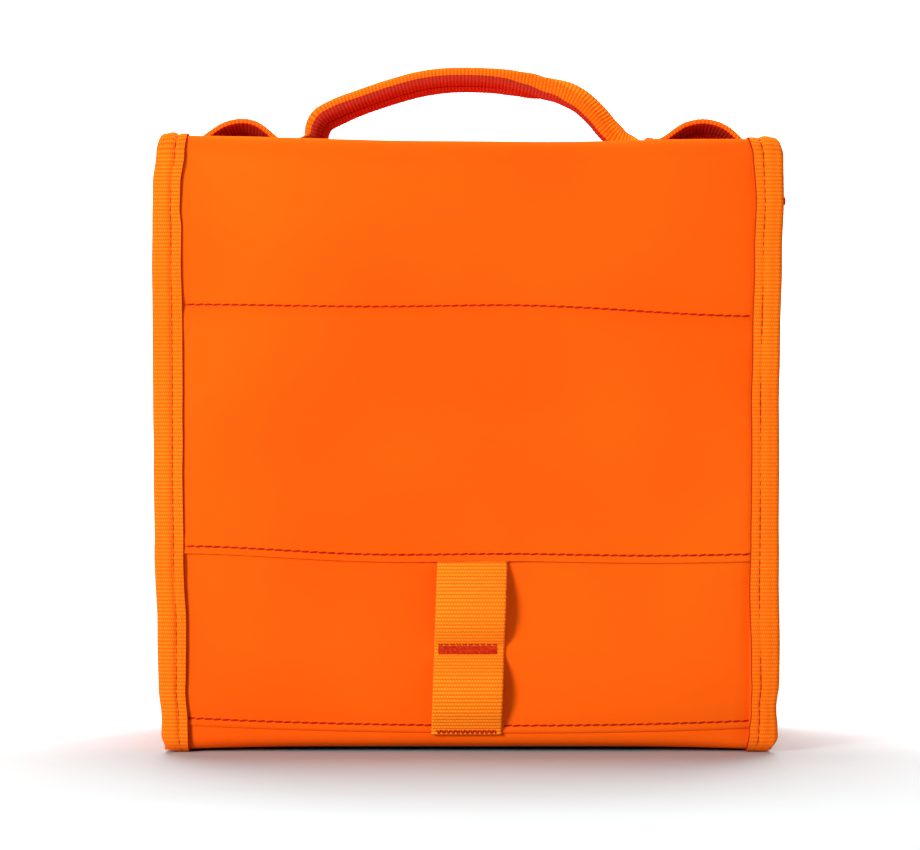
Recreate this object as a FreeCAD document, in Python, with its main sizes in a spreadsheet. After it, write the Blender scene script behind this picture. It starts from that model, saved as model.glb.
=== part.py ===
"""Soft insulated cube with a fold-over cover, a closing flap and a webbing carry handle.

One coated sheet runs from the base up the front, over the top and down the rear. It is drawn here as
panels that part at the two folds: the cover turns about the top front edge and the flap about the top
rear edge. Millimetres. The front faces -Y, +Z is up, and the origin is on the floor below the centre of
the whole cube's box.
"""
import FreeCAD, Part
import math
import os
from types import SimpleNamespace

import Sketcher

FOLDER = "parts"

SIZES = {
    # The wrap: the outer sheet's cut width and the planes of its outer faces.
    "wrap_width": 224.0,
    "front_y": -64.0,
    "rear_y": 64.0,
    "flap_y": 71.0,
    "base_z": 1.0,
    "top_z": 223.0,
    "mouth_z": 214.0,
    # Cloth, webbing and filling thicknesses.
    "sheet_cloth": 0.8,
    "lining_cloth": 0.8,
    "binding_cloth": 1.0,
    "webbing_cloth": 1.8,
    "wall_foam": 6.0,
    "flap_foam": 3.0,
    "board_sheet": 1.5,
    # Edge binding and folds.
    "binding_cover": 11.0,
    "fold_gap": 1.3,
    "base_radius": 5.0,
    "leg_gap": 0.7,
    # Front seams, measured up from the floor.
    "hem_z": 70.0,
    "quilt_z": 161.0,
    "lower_edge_z": 8.0,
    "base_upturn_z": 16.0,
    "seam_lap": 8.0,
    "seam_gap": 1.0,
    # Webbing straps.
    "webbing_width": 25.4,
    "strap_y": 3.5,
    "ladder_tab": 3.9,
    "ladder_span": 25.0,
    "ladder_bulge": 7.0,
    "ladder_middle": 4.5,
    "loop_span": 33.9,
    "loop_rise": 9.8,
    "tack_pad": 6.0,
    "tack_thread": 0.6,
    # Handle arch, outer outline.
    "handle_top_z": 254.2,
    "handle_cloth": 3.5,
    "handle_width": 19.0,
    "crown_radius": 114.5,
    "crown_half": 53.7,
    "shoulder_radius": 13.0,
    "handle_axis_z": 226.0,
    "handle_neck": 2.0,
    "handle_swing": 60.0,
    # Flap and its closure.
    "flap_bottom_z": 128.0,
    "tape_height": 20.0,
    "tape_width": 120.0,
    "hook_tape": 1.1,
    "loop_tape": 1.0,
    "tab_drop": 24.0,
    # Clearances between pieces.
    "trim_leg": 10.0,
    "small_gap": 0.1,
}

# Axis that each origin plane faces: +1 where its normal is the positive axis, -1 where it is negative.
PLANE_NORMAL = {"YZ_Plane": 1, "XY_Plane": 1, "XZ_Plane": -1}


class Dim:
    """A length and the spreadsheet expression that gives it."""

    def __init__(self, value, text):
        self.value = value
        self.text = text

    def _join(self, other, sign, value):
        return Dim(value, f"({self.text} {sign} {other.text})")

    def __add__(self, other):
        other = as_dim(other)
        return self._join(other, "+", self.value + other.value)

    def __sub__(self, other):
        other = as_dim(other)
        return self._join(other, "-", self.value - other.value)

    def __mul__(self, other):
        other = as_dim(other)
        return self._join(other, "*", self.value * other.value)

    def __truediv__(self, other):
        other = as_dim(other)
        return self._join(other, "/", self.value / other.value)

    def __neg__(self):
        return as_dim(0) - self


def as_dim(number):
    """Give a plain number the same form as a sheet size."""
    if isinstance(number, Dim):
        return number
    return Dim(float(number), repr(float(number)))


def root(dim):
    return Dim(math.sqrt(dim.value), f"sqrt({dim.text})")


def tangent_of_degrees(dim):
    return Dim(math.tan(math.radians(dim.value)), f"tan({dim.text} * 1 deg)")


def bow_radius(span, rise):
    """Radius of the arc that rises by rise over a chord of span."""
    return (span * span / 4 + rise * rise) / (rise * 2)


def make_sheet(doc):
    """Fill the size sheet and return its sizes as Dim values."""
    sheet = doc.addObject("Spreadsheet::Sheet", "Sizes")
    for row, (alias, value) in enumerate(SIZES.items(), start=1):
        sheet.set(f"A{row}", alias)
        sheet.set(f"B{row}", str(value))
        sheet.setAlias(f"B{row}", alias)
    doc.recompute()
    return SimpleNamespace(**{alias: Dim(value, f"Sizes.{alias}") for alias, value in SIZES.items()})


def slab(doc, label, x, y, z):
    """A rectangular piece between the low and high plane of each axis."""
    box = doc.addObject("Part::Box", label)
    box.Label = label
    for side, (low, high), axis in zip(("Length", "Width", "Height"), (x, y, z), "xyz"):
        box.setExpression(side, (high - low).text)
        box.setExpression(f"Placement.Base.{axis}", low.text)
    return box


def new_body(doc, label):
    body = doc.addObject("PartDesign::Body", label)
    body.Label = label
    return body


def arc_between(start, end, radius, turn):
    """The short arc from start to end, counter-clockwise where turn is 1 and clockwise where it is -1."""
    chord = end - start
    half = chord.Length / 2
    reach = math.sqrt(max(radius * radius - half * half, 0.0))
    left = FreeCAD.Vector(-chord.y, chord.x, 0).normalize()
    centre = (start + end) / 2 + left * (reach * turn)
    first, last = (start, end) if turn > 0 else (end, start)
    angles = [math.atan2(point.y - centre.y, point.x - centre.x) for point in (first, last)]
    circle = Part.Circle(centre, FreeCAD.Vector(0, 0, 1), radius)
    return Part.ArcOfCircle(circle, angles[0], angles[1])


def draw(sketch, corners):
    """Draw a closed outline whose corners, and the radii of whose arcs, follow the size sheet.

    A corner is (u, v), reached by a straight line, or (u, v, radius, turn), reached by an arc.
    """
    points = [FreeCAD.Vector(corner[0].value, corner[1].value, 0) for corner in corners]
    ends = []
    for index, corner in enumerate(corners):
        start, end = points[index - 1], points[index]
        if len(corner) == 2:
            sketch.addGeometry(Part.LineSegment(start, end), False)
            ends.append((1, 2))
        else:
            sketch.addGeometry(arc_between(start, end, corner[2].value, corner[3]), False)
            ends.append((1, 2) if corner[3] > 0 else (2, 1))
    for index, corner in enumerate(corners):
        follower = (index + 1) % len(corners)
        sketch.addConstraint(
            Sketcher.Constraint("Coincident", index, ends[index][1], follower, ends[follower][0])
        )
        for kind, dim in (("DistanceX", corner[0]), ("DistanceY", corner[1])):
            made = sketch.addConstraint(
                Sketcher.Constraint(kind, -1, 1, index, ends[index][1], dim.value)
            )
            sketch.setExpression(f"Constraints[{made}]", dim.text)
        if len(corner) == 4:
            made = sketch.addConstraint(Sketcher.Constraint("Radius", index, corner[2].value))
            sketch.setExpression(f"Constraints[{made}]", corner[2].text)


def new_sketch(body, plane, at, corners):
    """A sketch on one of the body's origin planes, moved along that plane's normal."""
    count = len([item for item in body.Group if item.isDerivedFrom("Sketcher::SketchObject")])
    sketch = body.newObject("Sketcher::SketchObject", f"{body.Name}_outline{count}")
    role = [item for item in body.Origin.OriginFeatures if item.Role == plane][0]
    sketch.AttachmentSupport = (role, "")
    sketch.MapMode = "FlatFace"
    sketch.setExpression("AttachmentOffset.Base.z", at.text)
    draw(sketch, corners)
    return sketch


def pad(doc, body, plane, span, corners):
    """Fill the outline between the two planes of span."""
    low, high = span
    start = low if PLANE_NORMAL[plane] > 0 else -high
    feature = body.newObject("PartDesign::Pad", f"{body.Name}_pad")
    feature.Profile = new_sketch(body, plane, start, corners)
    feature.setExpression("Length", (high - low).text)
    doc.recompute()
    return feature


def cut(doc, body, plane, span, corners):
    """Remove the outline between the two planes of span, and stop if nothing was removed."""
    low, high = span
    start = high if PLANE_NORMAL[plane] > 0 else -low
    before = body.Shape.Volume
    feature = body.newObject("PartDesign::Pocket", f"{body.Name}_cut")
    feature.Profile = new_sketch(body, plane, start, corners)
    feature.setExpression("Length", (high - low).text)
    doc.recompute()
    if body.Shape.Volume >= before:
        raise RuntimeError(f"{body.Label}: the cut missed the solid")
    return feature


def rectangle(u, v):
    return [(u[0], v[0]), (u[1], v[0]), (u[1], v[1]), (u[0], v[1])]


def channel(outer, inner, back, cloth, depth_sign):
    """A C-shaped outline: two legs and the back that joins them.

    outer and inner are the levels of the legs' far faces, back is the level of the closed side's face,
    and depth_sign gives the way from there to the legs' open ends. Corners are (along, across).
    """
    closed, opened = back
    slot = closed + cloth * depth_sign
    return [
        (closed, inner),
        (opened, inner),
        (opened, inner + cloth),
        (slot, inner + cloth),
        (slot, outer - cloth),
        (opened, outer - cloth),
        (opened, outer),
        (closed, outer),
    ]


def swap(corners):
    return [(corner[1], corner[0]) for corner in corners]


def basin(y, base, top, radius):
    """The outline of a U-shaped area with rounded lower corners: front and rear y, base level, top level."""
    front, rear = y
    return [
        (front, top),
        (front, base + radius),
        (front + radius, base, radius, 1),
        (rear - radius, base),
        (rear, base + radius, radius, 1),
        (rear, top),
    ]


def basin_band(outer, inner, tops):
    """A band that follows a basin: outer and inner are (front, rear, base, radius), tops are (front, rear)."""
    front, rear, base, radius = outer
    front_in, rear_in, base_in, radius_in = inner
    front_top, rear_top = tops
    return [
        (front, front_top),
        (front, base + radius),
        (front + radius, base, radius, 1),
        (rear - radius, base),
        (rear, base + radius, radius, 1),
        (rear, rear_top),
        (rear_in, rear_top),
        (rear_in, base_in + radius_in),
        (rear_in - radius_in, base_in, radius_in, -1),
        (front_in + radius_in, base_in),
        (front_in, base_in + radius_in, radius_in, -1),
        (front_in, front_top),
    ]


def mirrored(span, side):
    """The same span on the right (side 1) or on the left (side -1)."""
    low, high = span
    return (low, high) if side > 0 else (-high, -low)


def levels(d):
    """Planes that several pieces share, worked out from the sheet."""
    p = SimpleNamespace()
    p.wrap_x = d.wrap_width / 2
    p.edge_x = p.wrap_x + d.binding_cloth
    p.side_x = p.edge_x - d.binding_cover
    p.foam_x = p.side_x - d.lining_cloth
    p.liner_x = p.foam_x - d.wall_foam
    p.room_x = p.liner_x - d.lining_cloth
    p.board_x = p.foam_x - d.small_gap * 2
    p.lower_y = d.front_y + d.sheet_cloth
    p.base_front_y = p.lower_y + d.sheet_cloth
    p.gusset_front_y = p.base_front_y + d.sheet_cloth
    p.flange_front_y = p.gusset_front_y + d.lining_cloth
    p.base_rear_y = d.rear_y - d.sheet_cloth
    p.gusset_rear_y = p.base_rear_y - d.sheet_cloth
    p.flange_rear_y = p.gusset_rear_y - d.lining_cloth
    p.liner_front_y = p.lower_y + d.wall_foam
    p.liner_rear_y = -p.liner_front_y
    p.base_in_z = d.base_z + d.sheet_cloth
    p.flange_z = p.base_in_z + d.lining_cloth
    p.board_z = p.base_in_z + d.board_sheet
    p.liner_z = p.board_z + d.wall_foam
    p.cover_in_z = d.top_z - d.sheet_cloth
    p.cover_foam_z = p.cover_in_z - d.wall_foam
    p.cover_low_z = p.cover_foam_z - d.lining_cloth
    p.flap_in_y = d.flap_y - d.sheet_cloth
    p.flap_foam_y = p.flap_in_y - d.flap_foam
    p.flap_low_y = p.flap_foam_y - d.lining_cloth
    p.cover_y = (d.front_y + d.fold_gap, d.flap_y - d.fold_gap)
    p.leg_z = d.top_z - d.sheet_cloth - d.lining_cloth - d.binding_cloth - d.leg_gap
    p.tray_x = p.room_x + d.wall_foam * 0.6
    return p


def both_sides(width):
    return (-width, width)


def make_front(doc, d, p):
    """The front sheet and the lower panel that it laps over, with the three boards behind them."""
    wrap = both_sides(p.wrap_x)
    board = both_sides(p.board_x)
    hem_top = d.hem_z + d.seam_lap
    fold = d.top_z - d.fold_gap
    return [
        slab(doc, "front_main_panel", wrap, (d.front_y, p.lower_y), (d.hem_z, fold)),
        slab(doc, "front_lower_panel", wrap, (p.lower_y, p.base_front_y), (d.lower_edge_z, hem_top)),
        slab(
            doc,
            "front_foam_upper",
            board,
            (p.lower_y, p.liner_front_y),
            (d.quilt_z + d.seam_gap, d.mouth_z),
        ),
        slab(
            doc,
            "front_foam_middle",
            board,
            (p.lower_y, p.liner_front_y),
            (hem_top + d.seam_gap, d.quilt_z - d.seam_gap),
        ),
        slab(
            doc,
            "front_foam_lower",
            board,
            (p.gusset_front_y, p.liner_front_y),
            (p.liner_z + d.small_gap, hem_top - d.seam_gap),
        ),
    ]


def make_rear(doc, d, p):
    """The rear sheet, the board behind it and the soft half of the closure."""
    tape_low = d.flap_bottom_z + d.trim_leg
    return [
        slab(
            doc,
            "rear_panel",
            both_sides(p.wrap_x),
            (p.base_rear_y, d.rear_y),
            (d.lower_edge_z, d.mouth_z),
        ),
        slab(
            doc,
            "rear_foam",
            both_sides(p.board_x),
            (p.liner_rear_y, p.gusset_rear_y),
            (p.liner_z + d.small_gap, d.mouth_z),
        ),
        slab(
            doc,
            "loop_tape",
            both_sides(d.tape_width / 2),
            (d.rear_y, d.rear_y + d.loop_tape),
            (tape_low, tape_low + d.tape_height * 2),
        ),
    ]


def make_base(doc, d, p):
    """The base sheet, turned up at the front and rear, with its board and foam."""
    body = new_body(doc, "base_panel")
    outer = (p.base_front_y, p.base_rear_y, d.base_z, d.base_radius)
    inner = (p.gusset_front_y, p.gusset_rear_y, p.base_in_z, d.base_radius - d.sheet_cloth)
    band = basin_band(outer, inner, (d.base_upturn_z, d.base_upturn_z))
    pad(doc, body, "YZ_Plane", both_sides(p.wrap_x), band)
    flat_front = p.base_front_y + d.base_radius
    board_y = (flat_front + d.small_gap, -flat_front - d.small_gap)
    foam_y = (p.liner_front_y - d.wall_foam / 2, p.liner_rear_y + d.wall_foam / 2)
    return [
        body,
        slab(doc, "base_board", both_sides(p.board_x), board_y, (p.base_in_z, p.board_z)),
        slab(doc, "base_foam", both_sides(p.board_x), foam_y, (p.board_z, p.liner_z)),
    ]


def make_gusset(doc, d, p, name, side):
    """A side panel: a flat wall whose front, base and rear edges turn outwards as a flange."""
    body = new_body(doc, f"side_panel_{name}")
    radius = d.base_radius - d.sheet_cloth
    wall = basin((p.gusset_front_y, p.gusset_rear_y), p.base_in_z, d.mouth_z, radius)
    pad(doc, body, "YZ_Plane", mirrored((p.foam_x, p.wrap_x), side), wall)
    hollow = basin(
        (p.flange_front_y, p.flange_rear_y), p.flange_z, d.mouth_z + 1, radius - d.lining_cloth
    )
    cut(doc, body, "YZ_Plane", mirrored((p.side_x, p.wrap_x), side), hollow)
    return body


def make_edge_binding(doc, d, p, name, side):
    """Ribbed tape folded over the seam between the sheet and a side panel, front, base and rear."""
    body = new_body(doc, f"edge_binding_{name}")
    tape = d.binding_cloth
    sheet_radius = d.base_radius
    flange_radius = d.base_radius - d.sheet_cloth - d.lining_cloth
    outer = (d.front_y - tape, d.rear_y + tape, d.base_z - tape, sheet_radius + tape)
    inner = (p.flange_front_y + tape, p.flange_rear_y - tape, p.flange_z + tape, flange_radius - tape)
    tops = (p.leg_z, d.mouth_z)
    pad(doc, body, "YZ_Plane", mirrored((p.side_x, p.edge_x), side), basin_band(outer, inner, tops))
    slot_outer = (d.front_y, d.rear_y, d.base_z, sheet_radius)
    slot_inner = (p.flange_front_y, p.flange_rear_y, p.flange_z, flange_radius)
    slot_tops = (p.leg_z + 1, d.mouth_z + 1)
    slot = basin_band(slot_outer, slot_inner, slot_tops)
    cut(doc, body, "YZ_Plane", mirrored((p.side_x, p.wrap_x), side), slot)
    return body


def make_side(doc, d, p, name, side):
    """Side panel, its foam and its edge binding."""
    foam = slab(
        doc,
        f"{name}_foam",
        mirrored((p.liner_x, p.foam_x), side),
        (p.liner_front_y, p.liner_rear_y),
        (p.liner_z, d.mouth_z),
    )
    return [
        make_gusset(doc, d, p, name, side),
        foam,
        make_edge_binding(doc, d, p, name, side),
    ]


def make_liner(doc, d, p):
    """The welded tub that lines the compartment."""
    body = new_body(doc, "liner")
    cloth = d.lining_cloth
    outer = rectangle(both_sides(p.liner_x), (p.liner_front_y, p.liner_rear_y))
    pad(doc, body, "XY_Plane", (p.liner_z, d.mouth_z), outer)
    inner = rectangle(both_sides(p.room_x), (p.liner_front_y + cloth, p.liner_rear_y - cloth))
    cut(doc, body, "XY_Plane", (p.liner_z + cloth, d.mouth_z), inner)
    return body


def make_mouth_binding(doc, d, p):
    """Tape folded over the rim of the rear wall and of both side walls."""
    tape = d.binding_cloth
    room_y = p.liner_rear_y - d.lining_cloth
    rim = (d.mouth_z + tape, d.mouth_z - d.trim_leg)
    pieces = []
    for name, side in (("left", -1), ("right", 1)):
        body = new_body(doc, f"mouth_binding_{name}")
        low, high = mirrored((p.room_x - tape, p.side_x + tape), side)
        outline = swap(channel(high, low, rim, tape, -1))
        span = (-room_y + d.small_gap, room_y - tape - d.small_gap)
        pad(doc, body, "XZ_Plane", span, outline)
        pieces.append(body)
    body = new_body(doc, "mouth_binding_rear")
    outline = swap(channel(d.rear_y + tape, room_y - tape, rim, tape, -1))
    pad(doc, body, "YZ_Plane", both_sides(p.room_x - d.small_gap), outline)
    return pieces + [body]


def bowed_strap(first, spans, face, cloth, bulge):
    """A webbing outline that lies on a face and bows out over some of its spans.

    spans lists (length, bowed) from first onwards. Corners are (along, away from the face).
    """
    under = [(first, face)]
    over = [(first, face + cloth)]
    here = first
    for length, bowed in spans:
        here = here + length
        if bowed:
            radius = bow_radius(length, bulge)
            under.append((here, face, radius, -1))
            over.append((here, face + cloth, radius, -1))
        else:
            under.append((here, face))
            over.append((here, face + cloth))
    outline = over[:]
    for index in range(len(under) - 1, -1, -1):
        arc = index + 1 < len(under) and len(under[index + 1]) == 4
        corner = under[index][:2]
        outline.append(corner + (under[index + 1][2], 1) if arc else corner)
    return outline


def facing_front(outline):
    """Turn a strap outline from (along, away) to (y, z) on the front face."""
    turned = []
    for corner in outline:
        turned.append((-corner[1], corner[0]) + corner[2:])
    return turned


def make_ladder(doc, d, p):
    """The webbing ladder below the hem: two open loops between three sewn bars."""
    body = new_body(doc, "ladder_strap")
    face = -p.lower_y
    spans = [
        (d.ladder_tab - d.ladder_middle / 10, False),
        (d.ladder_span, True),
        (d.ladder_middle, False),
        (d.ladder_span, True),
        (d.ladder_tab, False),
    ]
    outline = bowed_strap(d.lower_edge_z, spans, face, d.webbing_cloth, d.ladder_bulge)
    pad(doc, body, "YZ_Plane", both_sides(d.webbing_width / 2), facing_front(outline))
    return body


def make_ladder_tacks(doc, d, p):
    """The two visible bar tacks of the ladder, as thread blocks on the webbing."""
    outer = p.lower_y - d.webbing_cloth
    width = both_sides(d.webbing_width / 2 - 1.5)
    low_tab = d.ladder_tab - d.ladder_middle / 10
    centres = [
        d.lower_edge_z + low_tab / 2,
        d.lower_edge_z + low_tab + d.ladder_span + d.ladder_middle / 2,
    ]
    blocks = []
    for number, centre in enumerate(centres):
        half = d.ladder_middle / 4
        span = (centre - half, centre + half)
        blocks.append(slab(doc, f"ladder_tack_{number}", width, (outer - d.tack_thread, outer), span))
    group = doc.addObject("Part::Compound", "ladder_bar_tacks")
    group.Label = "ladder_bar_tacks"
    group.Links = blocks
    return group


def make_cover(doc, d, p):
    """The cover's sheet, foam, lining and side bindings."""
    tape = d.binding_cloth
    lining = new_body(doc, "cover_lining")
    flange_low = p.cover_in_z - d.lining_cloth
    wall_x = p.tray_x + d.lining_cloth
    hat = [
        (-p.wrap_x, flange_low),
        (-wall_x, flange_low),
        (-wall_x, p.cover_low_z),
        (wall_x, p.cover_low_z),
        (wall_x, flange_low),
        (p.wrap_x, flange_low),
        (p.wrap_x, p.cover_in_z),
        (p.tray_x, p.cover_in_z),
        (p.tray_x, p.cover_foam_z),
        (-p.tray_x, p.cover_foam_z),
        (-p.tray_x, p.cover_in_z),
        (-p.wrap_x, p.cover_in_z),
    ]
    lining_y = (p.cover_y[0], p.flap_low_y - d.fold_gap)
    pad(doc, lining, "XZ_Plane", lining_y, hat)
    foam_y = (p.cover_y[0] + d.wall_foam / 2, lining_y[1] - d.wall_foam / 2)
    pieces = [
        slab(doc, "cover_panel", both_sides(p.wrap_x), p.cover_y, (p.cover_in_z, d.top_z)),
        slab(doc, "cover_foam", both_sides(p.tray_x), foam_y, (p.cover_foam_z, p.cover_in_z)),
        lining,
    ]
    for name, side in (("left", -1), ("right", 1)):
        body = new_body(doc, f"cover_binding_{name}")
        back = (p.edge_x * side, p.side_x * side)
        outline = channel(d.top_z + tape, flange_low - tape, back, tape, -side)
        pad(doc, body, "XZ_Plane", p.cover_y, outline)
        pieces.append(body)
    return pieces


def make_end_loop(doc, d, p, name, side):
    """Top webbing between a side binding and a handle tack: one open bow and the flat under the tack."""
    body = new_body(doc, f"end_loop_{name}")
    start = p.side_x - d.small_gap
    half = d.webbing_width / 2
    if side < 0:
        spans = [(d.loop_span, True), (d.tack_pad, False)]
        first = -start
    else:
        spans = [(d.tack_pad, False), (d.loop_span, True)]
        first = start - d.loop_span - d.tack_pad
    outline = bowed_strap(first, spans, d.top_z, d.webbing_cloth, d.loop_rise)
    pad(doc, body, "XZ_Plane", (d.strap_y - half, d.strap_y + half), outline)
    return body


def make_handle_tacks(doc, d, p):
    """The bar tacks that hold the handle's feet."""
    inner = p.side_x - d.small_gap - d.loop_span - d.tack_pad
    face = d.top_z + d.webbing_cloth
    half = d.webbing_width / 2 - 1.5
    y = (d.strap_y - half, d.strap_y + half)
    blocks = []
    for name, side in (("left", -1), ("right", 1)):
        x = mirrored((inner + 1, inner + d.tack_pad - 1), side)
        blocks.append(slab(doc, f"handle_tack_{name}", x, y, (face, face + d.tack_thread)))
    group = doc.addObject("Part::Compound", "handle_bar_tacks")
    group.Label = "handle_bar_tacks"
    group.Links = blocks
    return group


def arch_side(d, cloth):
    """Corners of the handle's right half at a depth of cloth inside its outer outline, foot to crown."""
    crown = d.crown_radius
    rise = root(crown * crown - d.crown_half * d.crown_half)
    centre_z = d.handle_top_z - crown
    shoulder_x = d.crown_half * (crown - d.shoulder_radius) / crown
    shoulder_z = centre_z + rise * (crown - d.shoulder_radius) / crown
    leg_x = shoulder_x + d.shoulder_radius - cloth
    share = (crown - cloth) / crown
    return SimpleNamespace(
        leg_x=leg_x,
        shoulder_z=shoulder_z,
        join=(d.crown_half * share, centre_z + rise * share),
        shoulder=d.shoulder_radius - cloth,
        crown=crown - cloth,
    )


def make_handle(doc, d):
    """The carry handle: webbing folded into a thick strip, standing as a low arch.

    Its feet narrow towards the axis, where the webbing twists as the handle lies over.
    """
    body = new_body(doc, "handle")
    outer = arch_side(d, as_dim(0))
    inner = arch_side(d, d.handle_cloth)
    foot = d.handle_axis_z - 0.4
    arch = [
        (outer.leg_x, foot),
        (outer.leg_x, outer.shoulder_z),
        outer.join + (outer.shoulder, 1),
        (-outer.join[0], outer.join[1], outer.crown, 1),
        (-outer.leg_x, outer.shoulder_z, outer.shoulder, 1),
        (-outer.leg_x, foot),
        (-inner.leg_x, foot),
        (-inner.leg_x, inner.shoulder_z),
        (-inner.join[0], inner.join[1], inner.shoulder, -1),
        inner.join + (inner.crown, -1),
        (inner.leg_x, inner.shoulder_z, inner.shoulder, -1),
        (inner.leg_x, foot),
    ]
    half = d.handle_width / 2
    pad(doc, body, "XZ_Plane", (d.strap_y - half, d.strap_y + half), arch)
    reach = half + 1
    flare_z = d.handle_axis_z + (reach - d.handle_neck) * tangent_of_degrees(d.handle_swing)
    for side in (-1, 1):
        neck = d.strap_y + d.handle_neck * side
        far = d.strap_y + reach * side
        taper = [(neck, foot - 1), (far, foot - 1), (far, flare_z), (neck, d.handle_axis_z)]
        cut(doc, body, "YZ_Plane", both_sides(p_reach(outer)), taper)
    return body


def p_reach(outer):
    """Half-length that runs past both of the handle's feet."""
    return outer.leg_x + 1


def make_flap(doc, d, p):
    """The flap's sheet, foam, lining, bindings, closure tape and pull tab."""
    tape = d.binding_cloth
    bottom = d.flap_bottom_z
    flange_y = p.flap_in_y - d.lining_cloth
    tray_bottom = bottom + d.binding_cover + d.fold_gap
    lining = new_body(doc, "flap_lining")
    flange = rectangle(both_sides(p.wrap_x), (bottom, p.leg_z))
    pad(doc, lining, "XZ_Plane", (flange_y, p.flap_in_y), flange)
    tray = rectangle(both_sides(p.tray_x + d.lining_cloth), (tray_bottom - d.lining_cloth, p.leg_z))
    pad(doc, lining, "XZ_Plane", (p.flap_low_y, p.flap_in_y), tray)
    hollow = rectangle(both_sides(p.tray_x), (tray_bottom, p.leg_z + 1))
    cut(doc, lining, "XZ_Plane", (p.flap_foam_y, p.flap_in_y), hollow)
    tape_z = (tray_bottom + 2, tray_bottom + 2 + d.tape_height)
    pieces = [
        slab(
            doc,
            "flap_panel",
            both_sides(p.wrap_x),
            (p.flap_in_y, d.flap_y),
            (bottom, d.top_z - d.fold_gap),
        ),
        slab(
            doc,
            "flap_foam",
            both_sides(p.tray_x),
            (p.flap_foam_y, p.flap_in_y),
            (tray_bottom, p.leg_z - 1),
        ),
        lining,
        slab(
            doc,
            "hook_tape",
            both_sides(d.tape_width / 2),
            (p.flap_low_y - d.hook_tape, p.flap_low_y),
            tape_z,
        ),
    ]
    for name, side in (("left", -1), ("right", 1)):
        body = new_body(doc, f"flap_binding_{name}")
        back = (p.edge_x * side, p.side_x * side)
        outline = channel(d.flap_y + tape, flange_y - tape, back, tape, -side)
        pad(doc, body, "XY_Plane", (bottom - tape, p.leg_z), outline)
        pieces.append(body)
    hem = new_body(doc, "flap_hem_binding")
    back = (bottom - tape, bottom - tape + d.binding_cover)
    outline = swap(channel(d.flap_y + tape, flange_y - tape, back, tape, 1))
    pad(doc, hem, "YZ_Plane", both_sides(p.side_x), outline)
    pieces.append(hem)
    tab_face = flange_y - tape
    pieces.append(
        slab(
            doc,
            "pull_tab",
            both_sides(d.webbing_width / 2),
            (tab_face - d.webbing_cloth * 2, tab_face),
            (bottom - d.tab_drop, bottom + d.binding_cover - tape),
        )
    )
    return pieces


def check(doc, pieces):
    """Stop if any object failed or any piece is empty or not valid."""
    for item in doc.Objects:
        if "Invalid" in item.State or "Error" in item.State:
            raise RuntimeError(f"{item.Label}: {item.State}")
    for piece in pieces:
        if piece.Shape.isNull() or not piece.Shape.isValid():
            raise RuntimeError(f"{piece.Label}: the shape is empty or not valid")


def main():
    doc = FreeCAD.newDocument("packing_cube")
    d = make_sheet(doc)
    p = levels(d)
    pieces = make_front(doc, d, p) + make_rear(doc, d, p) + make_base(doc, d, p)
    for name, side in (("left", -1), ("right", 1)):
        pieces += make_side(doc, d, p, name, side)
        pieces.append(make_end_loop(doc, d, p, name, side))
    pieces.append(make_liner(doc, d, p))
    pieces += make_mouth_binding(doc, d, p)
    pieces += [make_ladder(doc, d, p), make_ladder_tacks(doc, d, p)]
    pieces += make_cover(doc, d, p)
    pieces += [make_handle_tacks(doc, d, p), make_handle(doc, d)]
    pieces += make_flap(doc, d, p)
    doc.recompute()
    check(doc, pieces)
    os.makedirs(FOLDER, exist_ok=True)
    for piece in pieces:
        piece.Shape.exportStep(f"{FOLDER}/{piece.Label}.step")
    print(f"{len(pieces)} pieces written")


main()
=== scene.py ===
import bisect
import math

import bmesh
import bpy
from mathutils import Matrix, Vector, noise


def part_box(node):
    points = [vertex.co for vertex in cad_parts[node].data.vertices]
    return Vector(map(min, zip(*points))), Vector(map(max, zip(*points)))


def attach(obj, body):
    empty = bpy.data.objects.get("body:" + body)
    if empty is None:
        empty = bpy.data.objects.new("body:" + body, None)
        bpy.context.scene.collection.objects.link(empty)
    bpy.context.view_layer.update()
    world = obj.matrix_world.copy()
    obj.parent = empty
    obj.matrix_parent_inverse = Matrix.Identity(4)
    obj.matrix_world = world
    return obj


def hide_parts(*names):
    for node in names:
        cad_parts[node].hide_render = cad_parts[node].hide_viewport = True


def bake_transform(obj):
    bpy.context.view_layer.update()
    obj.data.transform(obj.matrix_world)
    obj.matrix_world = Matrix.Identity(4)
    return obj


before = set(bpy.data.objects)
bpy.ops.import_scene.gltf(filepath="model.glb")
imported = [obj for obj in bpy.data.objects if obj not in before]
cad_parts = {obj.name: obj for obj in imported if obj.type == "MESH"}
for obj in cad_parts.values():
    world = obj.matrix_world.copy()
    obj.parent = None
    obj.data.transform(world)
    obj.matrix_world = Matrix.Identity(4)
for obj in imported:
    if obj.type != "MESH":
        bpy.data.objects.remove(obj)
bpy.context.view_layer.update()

MM = 0.001

# ---------------------------------------------------------------- planes of the cube, from the frame
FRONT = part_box("front_main_panel")[0][1]
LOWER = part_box("front_lower_panel")[0][1]
BASE_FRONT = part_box("base_panel")[0][1]
BASE_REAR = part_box("base_panel")[1][1]
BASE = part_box("base_panel")[0][2]
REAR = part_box("rear_panel")[1][1]
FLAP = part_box("flap_panel")[1][1]
FLAP_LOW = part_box("flap_panel")[0][2]
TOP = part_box("cover_panel")[1][2]
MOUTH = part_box("rear_panel")[1][2]
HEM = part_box("front_main_panel")[0][2]
LOWER_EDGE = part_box("front_lower_panel")[0][2]
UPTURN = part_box("base_panel")[1][2]
WRAP_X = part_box("base_panel")[1][0]
EDGE_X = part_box("edge_binding_right")[1][0]
SIDE_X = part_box("edge_binding_right")[0][0]
STRAP_Y = (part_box("handle")[0][1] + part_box("handle")[1][1]) / 2
STRAP_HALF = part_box("ladder_strap")[1][0]
QUILT = (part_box("front_foam_upper")[0][2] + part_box("front_foam_middle")[1][2]) / 2

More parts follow.
